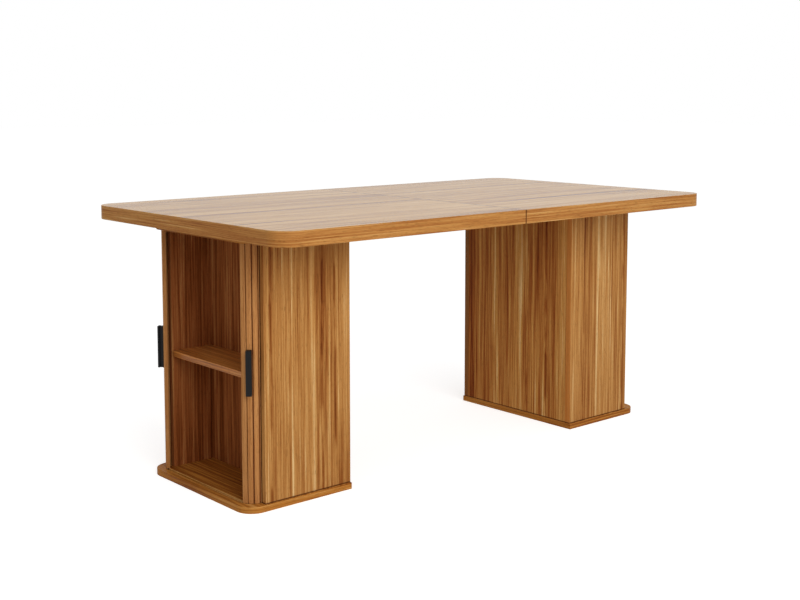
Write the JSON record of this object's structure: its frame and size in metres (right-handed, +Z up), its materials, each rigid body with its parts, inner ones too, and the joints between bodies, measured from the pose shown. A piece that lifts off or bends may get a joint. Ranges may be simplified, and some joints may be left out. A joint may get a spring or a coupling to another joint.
{
  "type": "dining table with storage cabinets",
  "caption": "Rounded rectangular dining table on two cabinet pedestals with shelves and sliding slatted roller doors.",
  "frame": {"origin": "on the floor, under the middle of the table top", "axes": "+X along the length of the top towards the closed cabinet, +Z up, +Y across the table to its far side"},
  "size_m": [1.69, 0.945, 0.765],
  "materials": {
    "top_wood": "semi-gloss lacquered veneer",
    "edge_wood": "satin edge banding",
    "cabinet_wood": "satin veneer with upright grain",
    "inner_wood": "satin dark veneer",
    "slat_wood": "satin slats",
    "dowel_wood": "plain beech",
    "handle_black": "satin black",
    "canvas_cloth": "woven canvas",
    "rail_paint": "black powder coat",
    "screw_steel": "zinc plated"
  },
  "bodies": {
    "frame": {"edge_band_left": "edge_wood", "edge_band_right": "edge_wood", "left_back_panel": "inner_wood", "left_base_plate": "cabinet_wood", "left_cabinet_top": "cabinet_wood", "left_carcass_screws": "screw_steel", "left_end_panel": "cabinet_wood", "left_far_canvas": "canvas_cloth", "left_far_curtain": "slat_wood", "left_liner_far": "inner_wood", "left_liner_near": "inner_wood", "left_near_canvas": "canvas_cloth", "left_near_curtain": "slat_wood", "left_shelf": "inner_wood", "left_shelf_pins": "screw_steel", "left_side_panel_far": "cabinet_wood", "left_side_panel_near": "cabinet_wood", "rail_screws": "screw_steel", "right_back_panel": "inner_wood", "right_base_plate": "cabinet_wood", "right_cabinet_top": "cabinet_wood", "right_carcass_screws": "screw_steel", "right_end_panel": "cabinet_wood", "right_far_canvas": "canvas_cloth", "right_far_curtain": "slat_wood", "right_liner_far": "inner_wood", "right_liner_near": "inner_wood", "right_near_canvas": "canvas_cloth", "right_near_curtain": "slat_wood", "right_shelf": "inner_wood", "right_shelf_pins": "screw_steel", "right_side_panel_far": "cabinet_wood", "right_side_panel_near": "cabinet_wood", "seam_dowels": "dowel_wood", "stretcher_rail_far": "rail_paint", "stretcher_rail_near": "rail_paint", "top_board_left": "top_wood", "top_board_right": "top_wood", "top_screws": "screw_steel"},
    "left_near_glide_pins": {"left_near_glides": "screw_steel"},
    "left_near_leading_stile": {"left_near_stile": "slat_wood"},
    "left_near_handle_bar": {"left_near_handle_slat": "slat_wood", "left_near_handle": "handle_black"},
    "left_near_tail_slats": {"left_near_tail": "slat_wood"},
    "left_far_glide_pins": {"left_far_glides": "screw_steel"},
    "left_far_leading_stile": {"left_far_stile": "slat_wood"},
    "left_far_handle_bar": {"left_far_handle_slat": "slat_wood", "left_far_handle": "handle_black"},
    "left_far_tail_slats": {"left_far_tail": "slat_wood"},
    "right_near_glide_pins": {"right_near_glides": "screw_steel"},
    "right_near_leading_stile": {"right_near_stile": "slat_wood"},
    "right_near_handle_bar": {"right_near_handle_slat": "slat_wood", "right_near_handle": "handle_black"},
    "right_near_tail_slats": {"right_near_tail": "slat_wood"},
    "right_far_glide_pins": {"right_far_glides": "screw_steel"},
    "right_far_leading_stile": {"right_far_stile": "slat_wood"},
    "right_far_handle_bar": {"right_far_handle_slat": "slat_wood", "right_far_handle": "handle_black"},
    "right_far_tail_slats": {"right_far_tail": "slat_wood"}
  },
  "joints": [
    {"name": "left_near_door_slide", "type": "slide", "parent": "frame", "child": "left_near_glide_pins", "axis": [-0.0149, 0.9999, 0], "range_m": [0, 0.19343], "deforming": ["left_near_curtain", "left_near_canvas"]},
    {"name": "left_near_stile_turn", "type": "hinge", "parent": "left_near_glide_pins", "child": "left_near_leading_stile", "pos_m": [-0.77462, -0.20122, 0.3635], "axis": [0, 0, -1], "range_deg": [0, 22.93]},
    {"name": "left_near_handle_turn", "type": "hinge", "parent": "left_near_leading_stile", "child": "left_near_handle_bar", "pos_m": [-0.76893, -0.20686, 0.3635], "axis": [0, 0, -1], "range_deg": [0, 24.99]},
    {"name": "left_near_tail_slide", "type": "slide", "parent": "frame", "child": "left_near_tail_slats", "axis": [-1, 0, 0], "range_m": [0, 0.19279]},
    {"name": "left_far_door_slide", "type": "slide", "parent": "frame", "child": "left_far_glide_pins", "axis": [-0.0149, -0.9999, 0], "range_m": [0, 0.19343], "deforming": ["left_far_curtain", "left_far_canvas"]},
    {"name": "left_far_stile_turn", "type": "hinge", "parent": "left_far_glide_pins", "child": "left_far_leading_stile", "pos_m": [-0.77462, 0.20122, 0.3635], "axis": [0, 0, 1], "range_deg": [0, 22.93]},
    {"name": "left_far_handle_turn", "type": "hinge", "parent": "left_far_leading_stile", "child": "left_far_handle_bar", "pos_m": [-0.76893, 0.20686, 0.3635], "axis": [0, 0, 1], "range_deg": [0, 24.99]},
    {"name": "left_far_tail_slide", "type": "slide", "parent": "frame", "child": "left_far_tail_slats", "axis": [-1, 0, 0], "range_m": [0, 0.19279]},
    {"name": "right_near_door_slide", "type": "slide", "parent": "frame", "child": "right_near_glide_pins", "axis": [-0.0149, -0.9999, 0], "range_m": [0, 0.19343], "deforming": ["right_near_curtain", "right_near_canvas"]},
    {"name": "right_near_stile_turn", "type": "hinge", "parent": "right_near_glide_pins", "child": "right_near_leading_stile", "pos_m": [0.7775, -0.00782, 0.3635], "axis": [0, 0, -1], "range_deg": [0, 22.93]},
    {"name": "right_near_handle_turn", "type": "hinge", "parent": "right_near_leading_stile", "child": "right_near_handle_bar", "pos_m": [0.77446, -0.01523, 0.3635], "axis": [0, 0, -1], "range_deg": [0, 24.99]},
    {"name": "right_near_tail_slide", "type": "slide", "parent": "frame", "child": "right_near_tail_slats", "axis": [-1, 0, 0], "range_m": [0, 0.19279]},
    {"name": "right_far_door_slide", "type": "slide", "parent": "frame", "child": "right_far_glide_pins", "axis": [-0.0149, 0.9999, 0], "range_m": [0, 0.19343], "deforming": ["right_far_curtain", "right_far_canvas"]},
    {"name": "right_far_stile_turn", "type": "hinge", "parent": "right_far_glide_pins", "child": "right_far_leading_stile", "pos_m": [0.7775, 0.00782, 0.3635], "axis": [0, 0, 1], "range_deg": [0, 22.93]},
    {"name": "right_far_handle_turn", "type": "hinge", "parent": "right_far_leading_stile", "child": "right_far_handle_bar", "pos_m": [0.77446, 0.01523, 0.3635], "axis": [0, 0, 1], "range_deg": [0, 24.99]},
    {"name": "right_far_tail_slide", "type": "slide", "parent": "frame", "child": "right_far_tail_slats", "axis": [-1, 0, 0], "range_m": [0, 0.19279]}
  ],
  "couplings": [
    {"joint": "left_near_stile_turn", "follows": "left_near_door_slide", "rad_per_m": 2.0687},
    {"joint": "left_near_handle_turn", "follows": "left_near_door_slide", "rad_per_m": 2.255},
    {"joint": "left_near_tail_slide", "follows": "left_near_door_slide", "ratio": 0.99672},
    {"joint": "left_far_stile_turn", "follows": "left_far_door_slide", "rad_per_m": 2.0687},
    {"joint": "left_far_handle_turn", "follows": "left_far_door_slide", "rad_per_m": 2.255},
    {"joint": "left_far_tail_slide", "follows": "left_far_door_slide", "ratio": 0.99672},
    {"joint": "right_near_stile_turn", "follows": "right_near_door_slide", "rad_per_m": 2.0687},
    {"joint": "right_near_handle_turn", "follows": "right_near_door_slide", "rad_per_m": 2.255},
    {"joint": "right_near_tail_slide", "follows": "right_near_door_slide", "ratio": 0.99672},
    {"joint": "right_far_stile_turn", "follows": "right_far_door_slide", "rad_per_m": 2.0687},
    {"joint": "right_far_handle_turn", "follows": "right_far_door_slide", "rad_per_m": 2.255},
    {"joint": "right_far_tail_slide", "follows": "right_far_door_slide", "ratio": 0.99672}
  ]
}
